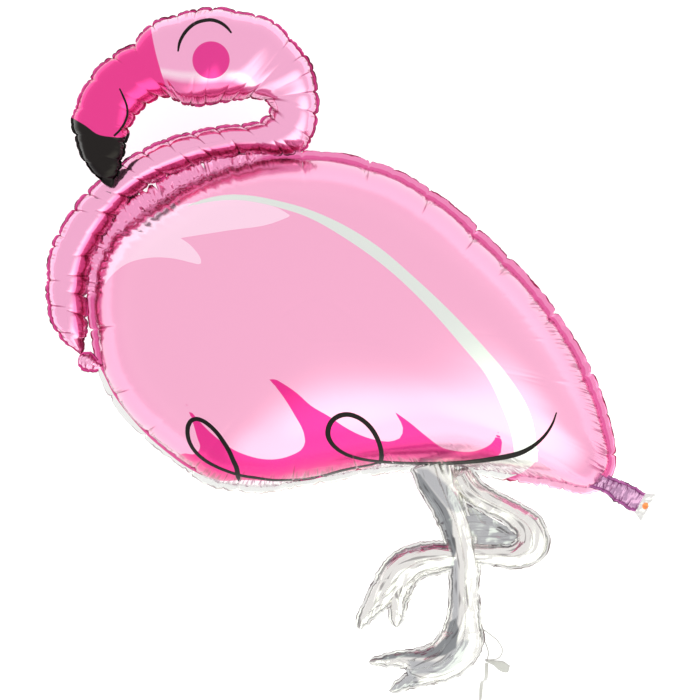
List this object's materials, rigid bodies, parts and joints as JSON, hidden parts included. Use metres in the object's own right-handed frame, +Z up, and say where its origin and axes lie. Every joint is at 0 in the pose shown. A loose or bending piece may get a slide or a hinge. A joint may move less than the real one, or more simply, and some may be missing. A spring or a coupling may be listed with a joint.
{
  "type": "foil balloon",
  "caption": "Inflated foil balloon shaped as a wading bird lying on its side, with a curved neck, bent leg, tail valve tube and a tied ribbon.",
  "frame": {"origin": "middle of the flat spot under the body, on the floor that the balloon lies on", "axes": "+Z up, square to the welded seam plane; +Y from the feet to the head; +X from the breast to the tail"},
  "size_m": [0.872, 1.0907, 0.2818],
  "materials": {
    "foil": "glossy printed metallised film",
    "valve": "crinkled silvery film",
    "ribbon": "smooth white ribbon"
  },
  "bodies": {
    "root": {"foil_envelope": "foil", "valve_film": "valve", "ribbon_knot": "ribbon", "ribbon_run": "ribbon", "ribbon_coil": "ribbon"}
  },
  "joints": []
}
